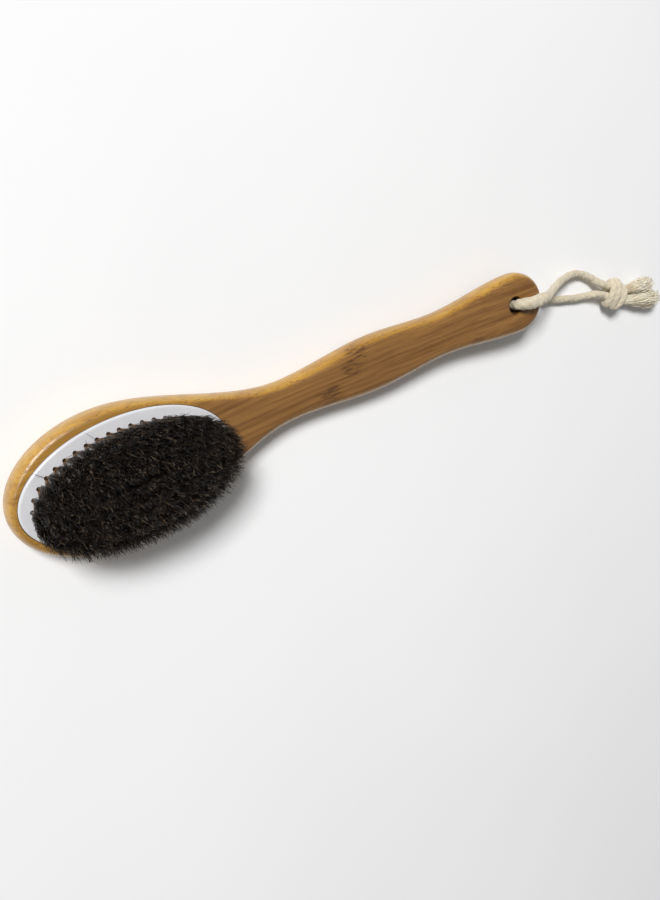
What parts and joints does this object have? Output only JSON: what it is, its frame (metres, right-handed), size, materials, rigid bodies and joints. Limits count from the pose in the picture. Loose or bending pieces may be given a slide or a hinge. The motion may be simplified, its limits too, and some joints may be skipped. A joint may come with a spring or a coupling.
{
  "type": "body dry brush",
  "caption": "Long-handled bamboo body brush: oval head with dark natural bristle tufts set in a white plate, waisted handle and a knotted cotton hanging loop through its end.",
  "frame": {"origin": "centre of the brush's bounding box, without its rope, on the surface that the back of the head lies on", "axes": "+X from the head's tip towards the handle's end, +Z out of the bristle face, +Y across the brush"},
  "size_m": [0.4873, 0.0883, 0.0399],
  "materials": {
    "bamboo": "clear-varnished laminated bamboo, satin to glossy",
    "plate": "glossy white moulded plastic",
    "adhesive": "cured clear-amber adhesive film, hidden",
    "bristle": "dark natural bristle with a dull sheen and brown tips",
    "rope": "undyed twisted cotton rope"
  },
  "bodies": {
    "brush": {"bamboo_body": "bamboo", "bristle_plate": "plate", "inner_tufts_core": "bristle", "inner_tufts_ring_2": "bristle", "inner_tufts_ring_3": "bristle", "inner_tufts_ring_4": "bristle", "outer_tuft_01": "bristle", "outer_tuft_02": "bristle", "outer_tuft_03": "bristle", "outer_tuft_04": "bristle", "outer_tuft_05": "bristle", "outer_tuft_06": "bristle", "outer_tuft_07": "bristle", "outer_tuft_08": "bristle", "outer_tuft_09": "bristle", "outer_tuft_10": "bristle", "outer_tuft_11": "bristle", "outer_tuft_12": "bristle", "outer_tuft_13": "bristle", "outer_tuft_14": "bristle", "outer_tuft_15": "bristle", "outer_tuft_16": "bristle", "outer_tuft_17": "bristle", "outer_tuft_18": "bristle", "outer_tuft_19": "bristle", "outer_tuft_20": "bristle", "outer_tuft_21": "bristle", "outer_tuft_22": "bristle", "outer_tuft_23": "bristle", "outer_tuft_24": "bristle", "outer_tuft_25": "bristle", "outer_tuft_26": "bristle", "outer_tuft_27": "bristle", "outer_tuft_28": "bristle", "outer_tuft_29": "bristle", "outer_tuft_30": "bristle", "outer_tuft_31": "bristle", "outer_tuft_32": "bristle", "outer_tuft_33": "bristle", "outer_tuft_34": "bristle", "outer_tuft_35": "bristle", "outer_tuft_36": "bristle", "outer_tuft_37": "bristle", "outer_tuft_38": "bristle", "outer_tuft_39": "bristle", "outer_tuft_40": "bristle", "plate_glue": "adhesive"},
    "hanging_loop": {"frayed_end_lower": "rope", "frayed_end_upper": "rope", "rope_back_strand": "rope", "rope_front_strand": "rope", "rope_knot": "rope"}
  },
  "joints": [
    {"name": "loop_swing", "type": "hinge", "parent": "brush", "child": "hanging_loop", "pos_m": [0.1535, 0, 0.015], "axis": [0, 0, 1], "range_deg": [-75, 90]}
  ]
}
